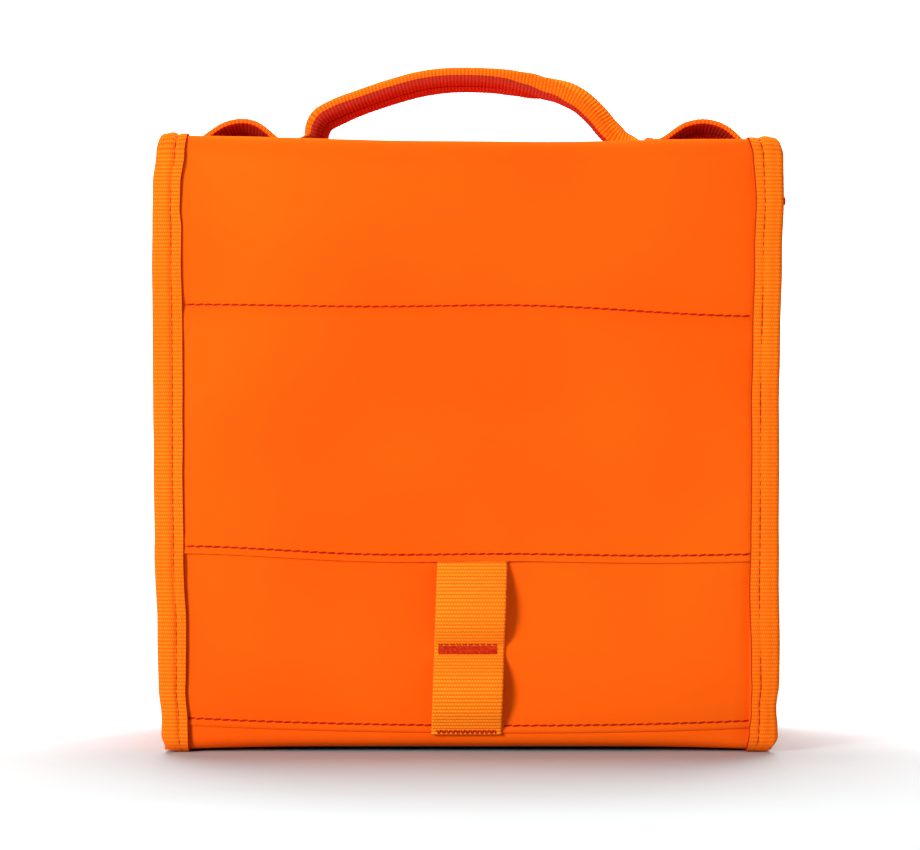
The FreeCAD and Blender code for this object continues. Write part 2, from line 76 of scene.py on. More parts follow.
SHEET = 0.8 * MM
TAPE = 0.8 * MM
FOLD_RADIUS = 5.5 * MM
WEBBING = 1.7 * MM
STITCH = 3.3 * MM
STITCH_GAP = -0.1 * MM
RIB = 1.35 * MM
STITCH_BACK = 2.6 * MM      # from a lapped edge to the row of stitches that holds it
TAPE_CORNER = 0.8           # share of the tape's half turn that stands beyond its flat leg


# ---------------------------------------------------------------- curves and small sums
def ease(value, low, high):
    """0 below low, 1 above high, smooth between."""
    t = min(max((value - low) / (high - low), 0.0), 1.0)
    return t * t * (3 - 2 * t)


def bump_at(value, centre, width):
    """A bell of height 1 at the centre."""
    return math.exp(-(((value - centre) / width) ** 2))


def through(knots, value):
    """A smooth line through (place, height) knots in rising order."""
    if value <= knots[0][0]:
        return knots[0][1]
    for (low, start), (high, end) in zip(knots, knots[1:]):
        if value <= high:
            return start + (end - start) * ease(value, low, high)
    return knots[-1][1]


def spread(low, high, count):
    return [low + (high - low) * i / count for i in range(count + 1)]


def spread_fine(low, high, count, seams, reach=2.4 * MM, step=0.45 * MM):
    """Evenly spread values with closer ones either side of each seam."""
    values = [v for v in spread(low, high, count) if all(abs(v - seam) > reach for seam in seams)]
    for seam in seams:
        values += spread(seam - reach, seam + reach, round(2 * reach / step))
    return sorted(values)


def rounded(corners, radius, steps=10):
    """Points of a line whose inner corners are arcs of that radius."""
    points = [Vector(corners[0])]
    for before, corner, after in zip(corners, corners[1:], corners[2:]):
        corner = Vector(corner)
        back = (Vector(before) - corner).normalized()
        ahead = (Vector(after) - corner).normalized()
        half = back.angle(ahead) / 2
        reach = radius / math.tan(half)
        centre = corner + (back + ahead).normalized() * (radius / math.sin(half))
        first = corner + back * reach - centre
        last = corner + ahead * reach - centre
        swing = first.angle(last)
        for step in range(steps + 1):
            t = step / steps
            a = math.sin((1 - t) * swing) / math.sin(swing)
            b = math.sin(t * swing) / math.sin(swing)
            points.append(centre + first * a + last * b)
    points.append(Vector(corners[-1]))
    return points


def flowing(knots, steps=12):
    """Points of a smooth line through every knot."""
    ends = [Vector(knots[0]) * 2 - Vector(knots[1])]
    ends += [Vector(knot) for knot in knots]
    ends.append(Vector(knots[-1]) * 2 - Vector(knots[-2]))
    points = []
    for a, b, c, d in zip(ends, ends[1:], ends[2:], ends[3:]):
        for step in range(steps):
            t = step / steps
            points.append(
                0.5 * (2 * b + (c - a) * t + (2 * a - 5 * b + 4 * c - d) * t**2
                       + (3 * b - a - 3 * c + d) * t**3)
            )
    points.append(ends[-2])
    return points


class Route:
    """A line in a plane that a sheet or strap follows, measured along its length."""

    def __init__(self, points):
        self.points = points
        self.run = [0.0]
        for a, b in zip(points, points[1:]):
            self.run.append(self.run[-1] + (b - a).length)
        self.length = self.run[-1]

    def point(self, s):
        s = min(max(s, 0.0), self.length)
        i = min(max(bisect.bisect_right(self.run, s) - 1, 0), len(self.points) - 2)
        share = (s - self.run[i]) / max(self.run[i + 1] - self.run[i], 1e-9)
        return self.points[i].lerp(self.points[i + 1], share)

    def normal(self, s, feel=0.6 * MM):
        """Unit vector to the left of the way the line runs."""
        low, high = max(s - feel, 0.0), min(s + feel, self.length)
        way = (self.point(high) - self.point(low)).normalized()
        return Vector((-way.y, way.x))


# ---------------------------------------------------------------- meshes
def finish_mesh(bm, name, material, mirror=False):
    if mirror:
        bmesh.ops.scale(bm, vec=(-1, 1, 1), verts=bm.verts)
        bmesh.ops.reverse_faces(bm, faces=bm.faces)
    mesh = bpy.data.meshes.new(name)
    bm.to_mesh(mesh)
    bm.free()
    mesh.polygons.foreach_set("use_smooth", [True] * len(mesh.polygons))
    mesh.materials.append(material)
    piece = bpy.data.objects.new(name, mesh)
    bpy.context.scene.collection.objects.link(piece)
    return piece


def grid(across, along, place):
    """A sheet of quads with a UV map in metres; place(a, s) gives the point for each pair of values."""
    bm = bmesh.new()
    cols, rows = len(across) - 1, len(along) - 1
    bmesh.ops.create_grid(bm, x_segments=cols, y_segments=rows, size=0.5)
    uv = bm.loops.layers.uv.new("cloth")
    spots = {}
    for vert in bm.verts:
        spot = (across[round((vert.co.x + 0.5) * cols)], along[round((vert.co.y + 0.5) * rows)])
        spots[vert] = spot
        vert.co = place(*spot)
    for face in bm.faces:
        for loop in face.loops:
            loop[uv].uv = spots[loop.vert]
    return bm


def thicken(piece, thickness):
    solid = piece.modifiers.new("thickness", "SOLIDIFY")
    solid.thickness = thickness
    solid.offset = -1.0
    return piece


def ring(width, thick, corner, count=6):
    """Outline of a flat strap's section as (across, up) points, from the middle of its top."""
    half, up = width / 2 - corner, thick / 2 - corner
    outline = [(-x, thick / 2) for x in spread(0, half, 6)[:-1]]
    for centre, start in (((-half, up), 90), ((-half, -up), 180), ((half, -up), 270), ((half, up), 0)):
        for step in range(count + 1):
            angle = math.radians(start + 90 * step / count)
            outline.append((centre[0] + corner * math.cos(angle), centre[1] + corner * math.sin(angle)))
        if start == 180:
            outline += [(x, -thick / 2) for x in spread(-half, half, 12)[1:-1]]
    outline += [(x, thick / 2) for x in spread(half, 0, 6)[1:]]
    return outline


def once_round(section):
    """Length of a section's outline."""
    return Route([Vector(point) for point in section]).length


def strap(name, material, route, section, to_space, roll=None, groove=0.0, spread_out=None):
    """Woven webbing swept along a route, with its ribs raised in the mesh.

    roll(x) leans it. spread_out(x) is 1 where it lies open and flat, 0 where it keeps its section and
    below 0 where it is rolled rounder.
    """
    girth = Route([Vector(point) for point in section])
    along = spread(0, route.length, max(int(route.length / RIB * 4), 8))

    def place(c, s):
        offset = girth.point(c)
        out = -girth.normal(c, 0.1 * MM)
        rib = -0.09 * MM * math.cos(2 * math.pi * s / RIB)
        if groove and offset.y < 0:
            rib -= groove * bump_at(offset.x, 0, 1.0 * MM)
        offset = offset + out * rib
        if spread_out:
            flat = spread_out(route.point(s).x)
            offset.x *= 1 + 0.4 * flat
            offset.y *= 1 - 0.72 * flat
        turn = roll(route.point(s).x) if roll else 0.0
        across = offset.x * math.cos(turn) - offset.y * math.sin(turn)
        up = offset.x * math.sin(turn) + offset.y * math.cos(turn)
        spot = route.point(s) + route.normal(s) * up
        return to_space(across, spot)

    bm = grid(girth.run, along, place)
    bmesh.ops.remove_doubles(bm, verts=bm.verts, dist=0.01 * MM)
    ends = [edge for edge in bm.edges if edge.is_boundary]
    bmesh.ops.holes_fill(bm, edges=ends, sides=0)
    bmesh.ops.recalc_face_normals(bm, faces=bm.faces)
    return finish_mesh(bm, name, material)


def thread_row(name, spots, material, length=STITCH, radius=0.4 * MM):
    """Sewing stitches as one piece: spots lists (place, way, normal)."""
    bm = bmesh.new()
    for place, way, up in spots:
        way = way.normalized()
        side = up.cross(way).normalized()
        turn = Matrix((side, way.cross(side), way)).transposed().to_4x4()
        size = Matrix.Diagonal((radius, radius * 0.8, length / 2, 1))
        matrix = Matrix.Translation(place) @ turn @ size
        bmesh.ops.create_uvsphere(bm, u_segments=6, v_segments=5, radius=1, matrix=matrix)
    bmesh.ops.recalc_face_normals(bm, faces=bm.faces)
    return finish_mesh(bm, name, material)


def row_along(point_at, low, high, step=STITCH + STITCH_GAP, lift=0.0):
    """Stitch spots along a line: point_at(t) gives (place, normal) for a length t."""
    spots = []
    count = int((high - low) / step)
    for index in range(count):
        middle = low + (index + 0.5) * (high - low) / count
        place, up = point_at(middle)
        ahead, _ = point_at(middle + 0.5 * MM)
        spots.append((place + up * lift, ahead - place, up))
    return spots


def block(low, high):
    """A plain block between two corners."""
    bm = bmesh.new()
    matrix = Matrix.Translation((low + high) / 2) @ Matrix.Diagonal((*(high - low), 1))
    bmesh.ops.create_cube(bm, size=1, matrix=matrix)
    return bm


def soften(bm, edges, radius, segments=3):
    bmesh.ops.bevel(bm, geom=edges, offset=radius, segments=segments, profile=0.5, affect="EDGES",
                    material=-1)


def settle(piece, body, slot, *nodes):
    """The body a piece rides, its material slot, which is not used, and the nodes it stands for, if
    any.
    """
    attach(piece, body)
    if nodes:
        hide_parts(*nodes)


def board(name, node, material, inset, radius):
    """A foam or stiffening board: the node's box drawn in a little, with soft edges."""
    low, high = (Vector(corner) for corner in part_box(node))
    bm = block(low + Vector(inset), high - Vector(inset))
    soften(bm, bm.edges, radius)
    return finish_mesh(bm, name, material)


# ---------------------------------------------------------------- materials
class Finish:
    """Builds one procedural material node by node."""

    def __init__(self, name, roughness=0.6, sheen=0.0, sheen_tint=(1, 1, 1), specular=0.5):
        self.material = bpy.data.materials.new(name)
        self.material.use_nodes = True
        self.tree = self.material.node_tree
        self.shader = self.tree.nodes["Principled BSDF"]
        self.shader.inputs["Roughness"].default_value = roughness
        self.shader.inputs["Sheen Weight"].default_value = sheen
        self.shader.inputs["Sheen Tint"].default_value = (*sheen_tint, 1)
        self.shader.inputs["Specular IOR Level"].default_value = specular

    def node(self, kind, inputs=None, **settings):
        made = self.tree.nodes.new(kind)
        for key, value in settings.items():
            setattr(made, key, value)
        for key, value in (inputs or {}).items():
            if isinstance(value, bpy.types.NodeSocket):
                self.tree.links.new(value, made.inputs[key])
            else:
                made.inputs[key].default_value = value
        return made

    def math(self, operation, first, second=0.0, third=0.0):
        made = self.node("ShaderNodeMath", {0: first, 1: second, 2: third}, operation=operation)
        return made.outputs[0]

    def place(self):
        return self.node("ShaderNodeTexCoord").outputs["Object"]

    def cloth_uv(self):
        read = self.node("ShaderNodeUVMap", uv_map="cloth").outputs[0]
        split = self.node("ShaderNodeSeparateXYZ", {0: read})
        return split.outputs[0], split.outputs[1]

    def noise(self, scale, detail=3.0, vector=None):
        source = vector or self.place()
        made = self.node("ShaderNodeTexNoise", {"Vector": source, "Scale": scale, "Detail": detail})
        return made.outputs["Fac"]

    def mix(self, share, first, second):
        made = self.node("ShaderNodeMix", data_type="RGBA")
        sockets = made.inputs[0], made.inputs[6], made.inputs[7]
        for socket, value in zip(sockets, (share, first, second)):
            if isinstance(value, bpy.types.NodeSocket):
                self.tree.links.new(value, socket)
            else:
                socket.default_value = value if socket is made.inputs[0] else (*value, 1)
        return made.outputs[2]

    def range(self, value, low, high, to_low=0.0, to_high=1.0):
        made = self.node("ShaderNodeMapRange", {0: value, 1: low, 2: high, 3: to_low, 4: to_high})
        return made.outputs[0]

    def colour(self, socket):
        self.tree.links.new(socket, self.shader.inputs["Base Color"])

    def rough(self, socket):
        self.tree.links.new(socket, self.shader.inputs["Roughness"])

    def bump(self, height, distance, strength=1.0):
        inputs = {"Height": height, "Distance": distance, "Strength": strength}
        made = self.node("ShaderNodeBump", inputs)
        self.tree.links.new(made.outputs[0], self.shader.inputs["Normal"])


def coated_cloth():
    """Smooth matt coated cloth: a fine grain, a little unevenness in tone and soft wrinkles."""
    made = Finish("coated_cloth", sheen=0.008, sheen_tint=(1.0, 0.5, 0.35), specular=0.0)
    tone = made.noise(9, 2)
    grain = made.noise(5200, 2)
    deep, light, fleck = (0.86, 0.087, 0.0035), (0.90, 0.114, 0.0045), (0.93, 0.165, 0.007)
    base = made.mix(made.range(tone, 0.35, 0.65), deep, light)
    made.colour(made.mix(made.range(grain, 0.3, 0.7, 0.0, 0.06), base, fleck))
    made.rough(made.range(made.noise(60, 4), 0.3, 0.7, 0.48, 0.58))
    height = made.math("MULTIPLY_ADD", made.noise(38, 2), 6.0, grain)
    made.bump(height, 0.03 * MM, 0.8)
    return made.material


def ribbed(name, yarn, ridge, gap, depth, edge_shadow=0.0, girth=0.0):
    """Woven webbing: rows of small yarn floats, each row half a step from the last.

    The width given for the edge is that of a painted shadow: a dark band along the tape's inner edge.
    girth, once round the strap, gives the strap's underside a painted shade, with a darker painted line
    along its middle.
    """
    made = Finish(name, roughness=0.7, specular=0.0)
    across, along = made.cloth_uv()
    row = made.math("DIVIDE", along, RIB)
    swell = made.math("ABSOLUTE", made.math("SINE", made.math("MULTIPLY", row, math.pi)))
    shift = made.math("MULTIPLY", made.math("FLOOR", row), 0.5)
    column = made.math("ADD", made.math("DIVIDE", across, yarn), shift)
    floats = made.math("ABSOLUTE", made.math("SINE", made.math("MULTIPLY", column, math.pi)))
    weave = made.math("MULTIPLY", swell, made.math("MULTIPLY_ADD", floats, 0.65, 0.35))
    uneven = made.noise(420, 2)
    height = made.math("MULTIPLY_ADD", uneven, 0.35, weave)
    tone = made.mix(made.range(made.noise(16, 2), 0.35, 0.65, 0.0, 0.3), ridge, gap)
    colour = made.mix(made.range(weave, 0.10, 0.80), gap, tone)
    # Painted shade: the half of the section that faces down is coloured dark red for the shade under
    # the strap, and a darker line along its middle is painted shade in the groove there.
    if girth:
        shaded_under_gap, shaded_under_ridge = (0.33, 0.017, 0.012), (0.46, 0.042, 0.018)
        groove_shade = (0.22, 0.006, 0.005)
        shaded_underside = made.mix(made.range(weave, 0.1, 0.8), shaded_under_gap, shaded_under_ridge)
        middle = made.math("COMPARE", across, girth / 2, 0.5 * MM)
        shaded_underside = made.mix(middle, shaded_underside, groove_shade)
        behind = made.math("COMPARE", across, girth / 2, girth * 0.232)
        colour = made.mix(behind, colour, shaded_underside)
    # Painted shadow: the tape's inner edge is coloured dark red for the shade where its raised edge
    # meets the sheet.
    if edge_shadow:
        edge = made.range(across, edge_shadow * 0.6, edge_shadow)
        colour = made.mix(edge, (0.40, 0.012, 0.003), colour)
    made.colour(colour)
    made.bump(height, depth, 1.0)
    return made.material


def sewing_thread(name, colour, dark):
    made = Finish(name, roughness=0.6, specular=0.05)
    made.colour(made.mix(made.range(made.noise(900, 2), 0.35, 0.65), dark, colour))
    made.bump(made.noise(2600, 1), 0.06 * MM)
    return made.material


def plain_lining():
    """Pale grey welded lining with a faint pebble grain."""
    made = Finish("welded_lining", roughness=0.42, specular=0.4)
    cells = made.node("ShaderNodeTexVoronoi", {"Vector": made.place(), "Scale": 900.0})
    tone = made.range(made.noise(14, 3), 0.3, 0.7)
    made.colour(made.mix(tone, (0.46, 0.47, 0.48), (0.54, 0.55, 0.56)))
    made.bump(cells.outputs["Distance"], 0.08 * MM, 0.6)
    return made.material


def closed_foam():
    made = Finish("closed_cell_foam", roughness=0.85)
    cells = made.node("ShaderNodeTexVoronoi", {"Vector": made.place(), "Scale": 700.0})
    made.colour(made.mix(cells.outputs["Distance"], (0.70, 0.70, 0.67), (0.80, 0.80, 0.77)))
    made.bump(cells.outputs["Distance"], 0.3 * MM, 0.6)
    return made.material


def stiff_sheet():
    made = Finish("stiff_sheet", roughness=0.5)
    made.colour(made.mix(made.noise(120, 4), (0.05, 0.05, 0.05), (0.09, 0.09, 0.09)))
    made.bump(made.noise(1800, 2), 0.05 * MM, 0.5)
    return made.material


def grip_tape():
    """Hook and loop tape: a dense pile."""
    made = Finish("grip_tape", roughness=0.9, sheen=0.1, sheen_tint=(1.0, 0.5, 0.2), specular=0.0)
    pile = made.noise(2400, 2)
    made.colour(made.mix(made.range(pile, 0.3, 0.7), (0.50, 0.05, 0.004), (0.86, 0.16, 0.015)))
    made.bump(pile, 0.5 * MM, 0.9)
    return made.material


CLOTH = coated_cloth()
RIDGE, GAP = (0.93, 0.235, 0.010), (0.84, 0.092, 0.004)
LADDER_RIDGE, LADDER_GAP = (0.95, 0.335, 0.016), (0.88, 0.122, 0.006)
# The edge webbing has a painted shadow 0.5 mm wide along its inner edge.
EDGE_WEBBING = ribbed("edge_webbing", 0.9 * MM, RIDGE, GAP, 0.09 * MM, edge_shadow=0.5 * MM)
LADDER_WEBBING = ribbed("ladder_webbing", 1.05 * MM, LADDER_RIDGE, LADDER_GAP, 0.12 * MM)
THREAD = sewing_thread("red_thread", (0.50, 0.014, 0.002), (0.34, 0.007, 0.001))
BAR_THREAD = sewing_thread("bar_thread", (0.62, 0.036, 0.004), (0.42, 0.014, 0.002))
LOOP_SECTION = ring(STRAP_HALF * 2 - 0.4 * MM, 2.1 * MM, 0.9 * MM)
HANDLE_SECTION = ring(17 * MM, 6 * MM, 2.8 * MM)
# The loops and the handle carry a painted shade on the half of their section that faces down.
LOOP_WEBBING = ribbed("loop_webbing", 1.0 * MM, RIDGE, GAP, 0.14 * MM, girth=once_round(LOOP_SECTION))
HANDLE_WEBBING = ribbed("handle_webbing", 1.0 * MM, RIDGE, GAP, 0.14 * MM,
                        girth=once_round(HANDLE_SECTION))
LINING = plain_lining()
FOAM = closed_foam()
STIFF = stiff_sheet()
GRIP = grip_tape()


# ---------------------------------------------------------------- shape of the sewn cube
# Fixed places in millimetres, which don't follow the frame: (height, distance from the middle) of the
# bound edges, then (height, width) of the tape on each.
LEFT_EDGE = [(0, 111.8), (12, 111.5), (24, 112.8), (48, 113.2), (74, 114.2), (110, 114.6), (150, 114.9),
             (191, 115.1), (207, 114.7), (218, 113.5), (224, 112.6)]
RIGHT_EDGE = [(0, 113.0), (9, 112.7), (16, 112.2), (26, 113.4), (74, 113.1), (130, 113.2), (182, 114.2),
              (200, 114.9), (217, 114.8), (224, 113.6)]
LEFT_COVER = [(0, 10.2), (14, 9.8), (40, 10.9), (90, 11.0), (150, 11.4), (191, 11.0), (198, 10.4),
              (218, 10.8), (224, 10.7)]
RIGHT_COVER = [(0, 11.9), (8, 10.6), (15, 9.4), (30, 10.5), (50, 11.0), (90, 10.4), (150, 10.3),
               (200, 10.4), (224, 11.6)]


def on_front(y):
    """1 on the front face, falling to 0 a little way behind it."""
    return 1 - ease(y, FRONT + 4 * MM, FRONT + 26 * MM)


def edge_x(side, y, z, corners=True):
    """Distance of the bound edge from the middle plane, drawn in at its rounded corners."""
    knots = RIGHT_EDGE if side > 0 else LEFT_EDGE
    seen = through([(place * MM, wide * MM) for place, wide in knots], z)
    base_corner, top_corner = 5.4 * MM, 2.6 * MM
    above_base, below_top = z - BASE + 0.3 * MM, TOP + 1.2 * MM - z
    for radius, depth in ((base_corner, above_base), (top_corner, below_top)):
        lack = min(max(1 - depth / radius, 0.0), 1.0) if corners else 0.0
        seen -= radius * (1 - math.sqrt(1 - lack * lack))
    front = on_front(y)
    return seen * front + EDGE_X * (1 - front)


def cover_width(side, y, z):
    knots = RIGHT_COVER if side > 0 else LEFT_COVER
    seen = through([(place * MM, wide * MM) for place, wide in knots], z)
    front = on_front(y)
    return seen * front + (EDGE_X - SIDE_X) * (1 - front)


def quilt_z(x):
    return QUILT + 1.6 * MM - 3.4 * MM * ease(x, 0, 105 * MM) + 0.4 * MM * math.sin(x * 46)


def hem_z(x):
    left_rise = 2.7 * MM * (1 - ease(x, -104 * MM, -12 * MM))
    return HEM - 0.5 * MM + left_rise + 0.35 * MM * math.sin(x * 55 + 1)


def foot_z(x):
    """Lower lapped edge of the lower panel."""
    return LOWER_EDGE - 0.6 * MM + 1.9 * MM * ((x - 15 * MM) / (100 * MM)) ** 2


def softness(x, y, z):
    """A faint unevenness of the cloth, the same wherever it is asked for."""
    return 0.45 * MM * noise.noise(Vector((x * 17, y * 17, z * 17)))


def front_relief(x, z):
    """How far the front face stands out of its plane; it falls away most beside the right binding."""
    share = min(abs(x) / (103.5 * MM), 1.0)
    right = ease(x, -10 * MM, 60 * MM)
    height = 1.9 * MM * (1 - share**3)
    height -= 1.0 * right * MM * ease(share, 0.84, 1.08)
    height -= 0.7 * MM * bump_at(z, quilt_z(x), 2.2 * MM) + 0.35 * MM * bump_at(z, quilt_z(x), 0.5 * MM)
    height += 0.35 * MM * bump_at(z, quilt_z(x) - 7 * MM, 5 * MM)
    height -= 0.55 * MM * bump_at(z, hem_z(x) + STITCH_BACK, 1.6 * MM)
    height -= 0.8 * MM * ease(z, TOP - 30 * MM, TOP)
    below = ease(hem_z(x) + 3 * MM - z, 0, 14 * MM)
    height -= below * MM * ((0.3 + 1.6 * right) * ease(share, 0.66, 1.10) + 0.3)
    height -= 0.6 * MM * below * bump_at(z, foot_z(x) + STITCH_BACK, 1.8 * MM)
    return height + softness(x, 0, z) * (1 - ease(share, 0.9, 1))


def hem_bulge(x, z):
    """The hem is turned under, and stands out more where the ladder's end is caught beneath."""
    width = 1 - ease(abs(x - 1.5 * MM), 9 * MM, 21 * MM)
    turned = 0.65 * MM * (1 - ease(z, hem_z(x) + 3 * MM, hem_z(x) + 8 * MM))
    return turned + 1.1 * MM * width * (1 - ease(z, hem_z(x) + 2 * MM, hem_z(x) + 22 * MM))


def front_spot(x, z, plane=FRONT):
    """A point on the front face and its outward way."""
    bulge = hem_bulge(x, z) if plane == FRONT else 0.0
    return Vector((x, plane - front_relief(x, z) - bulge, z)), Vector((0, -1, 0))


def fold_rise(x):
    """The front fold stands highest beside the bindings, the left one most."""
    return MM * (2.3 * ease(-x, 15 * MM, 106 * MM) + 1.1 * ease(x, 25 * MM, 106 * MM) - 0.5)


def fold_lift(x, y, z):
    """The fold's rise where it applies, fading down the front and back over the cover."""
    behind = ease(y, FRONT + 6 * MM, FRONT + 30 * MM)
    return fold_rise(x) * ease(z, TOP - 14 * MM, TOP) * (1 - behind)


def front_shift(x, z):
    """Moves the front sheet's rows up or down so that they follow its seams."""
    hem = (hem_z(x) - HEM) * (1 - ease(z, HEM + 4 * MM, HEM + 34 * MM))
    return hem + (quilt_z(x) - QUILT) * bump_at(z, QUILT, 22 * MM)


def cover_relief(x, y):
    """The cover's crown."""
    share = min(abs(x) / (102 * MM), 1.0)
    middle = (y - (FRONT + FLAP) / 2) / ((FLAP - FRONT) / 2)
    crown = 1.2 * MM * (1 - share**4) * (1 - min(abs(middle), 1.0) ** 3)
    return crown + softness(x, y, TOP) * (1 - share**6)


def wrap_relief(x, y, z):
    """Relief of the wrap wherever it runs: front, cover or flap."""
    front = (front_relief(x, z) + hem_bulge(x, z)) * (1 - ease(z, TOP - 9 * MM, TOP - 2 * MM))
    cover = cover_relief(x, y) * ease(z, TOP - 3 * MM, TOP)
    cover += fold_lift(x, y, z)
    share = min(abs(x) / (103 * MM), 1.0)
    flap = (1.3 * MM * (1 - share**4) + softness(x, y, z)) * (1 - ease(z, TOP - 25 * MM, TOP - 6 * MM))
    if y > STRAP_Y:
        return cover + flap * ease(y, FLAP - 8 * MM, FLAP - 2 * MM)
    return front * (1 - ease(y, FRONT + 1 * MM, FRONT + 8 * MM)) + cover


def lay_on_route(route, relief, half_of, shift=None):
    """Place function for a sheet whose width is x and whose length follows a route in the y-z plane."""

    def place(a, s):
        spot = route.point(s)
        out = route.normal(s, 1.0 * MM)
        half = half_of(1 if a > 0 else -1, spot.x, spot.y)
        x = a / WRAP_X * half
        if shift:
            spot.y += shift(x, spot.y)
        lift = relief(x, spot.x, spot.y)
        return Vector((x, spot.x + out.x * lift, spot.y + out.y * lift))

    return place


def sheet_half(side, y, z):
    return edge_x(side, y, z) - 2.4 * MM


def fold_front(piece):
    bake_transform(piece)
    return piece


def fold_rear(piece):
    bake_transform(piece)
    return piece


def apply_modifiers(piece):
    """Bake a piece's modifiers into its mesh."""
    depsgraph = bpy.context.evaluated_depsgraph_get()
    baked = bpy.data.meshes.new_from_object(piece.evaluated_get(depsgraph))
    piece.modifiers.clear()
    piece.data = baked
    return piece


# ---------------------------------------------------------------- outer sheets
def ride_pouch(piece):
    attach(piece, "pouch")


def outer_cloth(piece, hold, flat, under, *nodes):
    """Its thickness, the body it rides or the fold step that bakes it in place, its flat size, which is
    not used, and the nodes it stands for.
    """
    thicken(piece, SHEET)
    hold(piece)
    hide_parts(*nodes)


def wrap_front():
    """The main sheet, from the hem up the front and over the fold to the middle of the cover."""
    route = Route(rounded([(FRONT, HEM), (FRONT, TOP), (STRAP_Y, TOP)], FOLD_RADIUS))
    place = lay_on_route(route, wrap_relief, sheet_half, front_shift)
    along = spread_fine(0, route.length, 130, (STITCH_BACK, QUILT - HEM))
    piece = finish_mesh(grid(spread(-WRAP_X, WRAP_X, 112), along, place), "wrap_front", CLOTH)
    outer_cloth(piece, fold_front, (WRAP_X * 2, route.length), "front_foam_upper", "front_main_panel")


def wrap_rear():
    """The same sheet from the middle of the cover, over the rear fold and down the flap."""
    route = Route(rounded([(STRAP_Y, TOP), (FLAP, TOP), (FLAP, FLAP_LOW)], FOLD_RADIUS))
    place = lay_on_route(route, wrap_relief, sheet_half)
    piece = finish_mesh(grid(spread(-WRAP_X, WRAP_X, 112), spread(0, route.length, 110), place),
                        "wrap_rear", CLOTH)
    outer_cloth(piece, fold_rear, (WRAP_X * 2, route.length), "cover_foam", "cover_panel", "flap_panel")


def lower_panel():
    """The panel under the hem, tucked behind it and lapped over the base sheet."""
    tuck = 7 * MM

    def place(a, t):
        side = 1 if a > 0 else -1
        middle = HEM / 2
        x = a / WRAP_X * sheet_half(side, FRONT, middle)
        low, high = foot_z(x), hem_z(x) + tuck
        z = low + (high - low) * t
        return front_spot(x, z, LOWER)[0]

    piece = finish_mesh(grid(spread(-WRAP_X, WRAP_X, 112), spread(0, 1, 48), place),
                        "lower_panel", CLOTH)
    outer_cloth(piece, ride_pouch, (WRAP_X * 2, HEM + tuck - LOWER_EDGE), "front_foam_lower",
                "front_lower_panel")


def base_sheet():
    """The base, turned up behind the lower panel and the rear panel."""
    corners = [(BASE_REAR, UPTURN), (BASE_REAR, BASE), (BASE_FRONT, BASE),
               (BASE_FRONT, UPTURN - 2 * MM)]
    route = Route(rounded(corners, 5 * MM))

    def relief(x, y, z):
        share = min(abs(x) / (101 * MM), 1.0)
        ends = bump_at(y, BASE_FRONT, 5 * MM) * ease(z, BASE, BASE + 7 * MM)
        rise = 1.0 * MM * (1 - share**4) * (1 - ease(z, BASE, BASE + 4 * MM))
        return front_relief(x, z) * ends - rise

    place = lay_on_route(route, relief, sheet_half)
    piece = finish_mesh(grid(spread(-WRAP_X, WRAP_X, 90), spread(0, route.length, 110), place),
                        "base_sheet", CLOTH)
    outer_cloth(piece, ride_pouch, (WRAP_X * 2, route.length), "base_board", "base_panel")


def rear_sheet():
    """The rear panel, with a quilting stitch like the front's and a lapped lower edge."""
    route = Route([Vector((REAR, MOUTH)), Vector((REAR, LOWER_EDGE))])

    def relief(x, y, z):
        share = min(abs(x) / (101 * MM), 1.0)
        height = 1.0 * MM * (1 - share**4) * (1 - ease(z, 120 * MM, 150 * MM))
        height -= 0.8 * MM * bump_at(z, HEM, 2.2 * MM)
        height -= 0.5 * MM * bump_at(z, LOWER_EDGE + STITCH_BACK, 1.8 * MM)
        return height * (1 - ease(z, 112 * MM, 135 * MM)) - 0.9 * MM * ease(share, 0.9, 1)

    place = lay_on_route(route, relief, sheet_half)
    piece = finish_mesh(grid(spread(-WRAP_X, WRAP_X, 90), spread(0, route.length, 110), place),
                        "rear_sheet", CLOTH)
    outer_cloth(piece, ride_pouch, (WRAP_X * 2, route.length), "rear_foam", "rear_panel")

    def seam(z):
        def point_at(x):
            return Vector((x, REAR + relief(x, REAR, z), z)), Vector((0, 1, 0))
        return row_along(point_at, -100 * MM, 100 * MM, lift=0.1 * MM)

    rows = thread_row("rear_stitching", seam(HEM) + seam(LOWER_EDGE + STITCH_BACK), THREAD)
    settle(rows, "pouch", "thread")


def gusset(name, side):
    """A side wall whose front, base and rear edges turn outwards into the bindings."""
    turn_up = 6 * MM
    front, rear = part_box("side_panel_right")[0][1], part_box("side_panel_right")[1][1]
    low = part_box("side_panel_right")[0][2]
    wide = rear - front

    def place(a, s):
        flange = max(turn_up - a, turn_up - (wide + 2 * turn_up - a), turn_up - s, 0.0)
        y = front + min(max(a - turn_up, 0.0), wide)
        z = low + max(s - turn_up, 0.0)
        inward = min(a - turn_up, wide + turn_up - a, s - turn_up)
        round_in = 2.2 * MM * math.exp(-max(inward, 0.0) / (3.0 * MM))
        middle = (y - front) / wide * 2 - 1
        sag = 2.4 * MM * bump_at(middle, 0.05, 0.45) * ease(s, 10 * MM, 90 * MM)
        sag *= 1 - 0.7 * ease(z, MOUTH - 45 * MM, MOUTH - 12 * MM)
        x = SIDE_X + flange + round_in + sag + softness(SIDE_X * side, y, z) * 1.6
        return Vector((x, y, z))

    across = spread(0, turn_up, 4) + spread(turn_up, wide + turn_up, 70)[1:]
    across += spread(wide + turn_up, wide + 2 * turn_up, 4)[1:]
    along = spread(0, turn_up, 4) + spread(turn_up, turn_up + MOUTH - low, 90)[1:]
    bm = grid(across, along, place)
    piece = finish_mesh(bm, f"gusset_{name}", CLOTH, mirror=side < 0)
    outer_cloth(piece, ride_pouch, (across[-1], along[-1]), f"{name}_foam", f"side_panel_{name}")


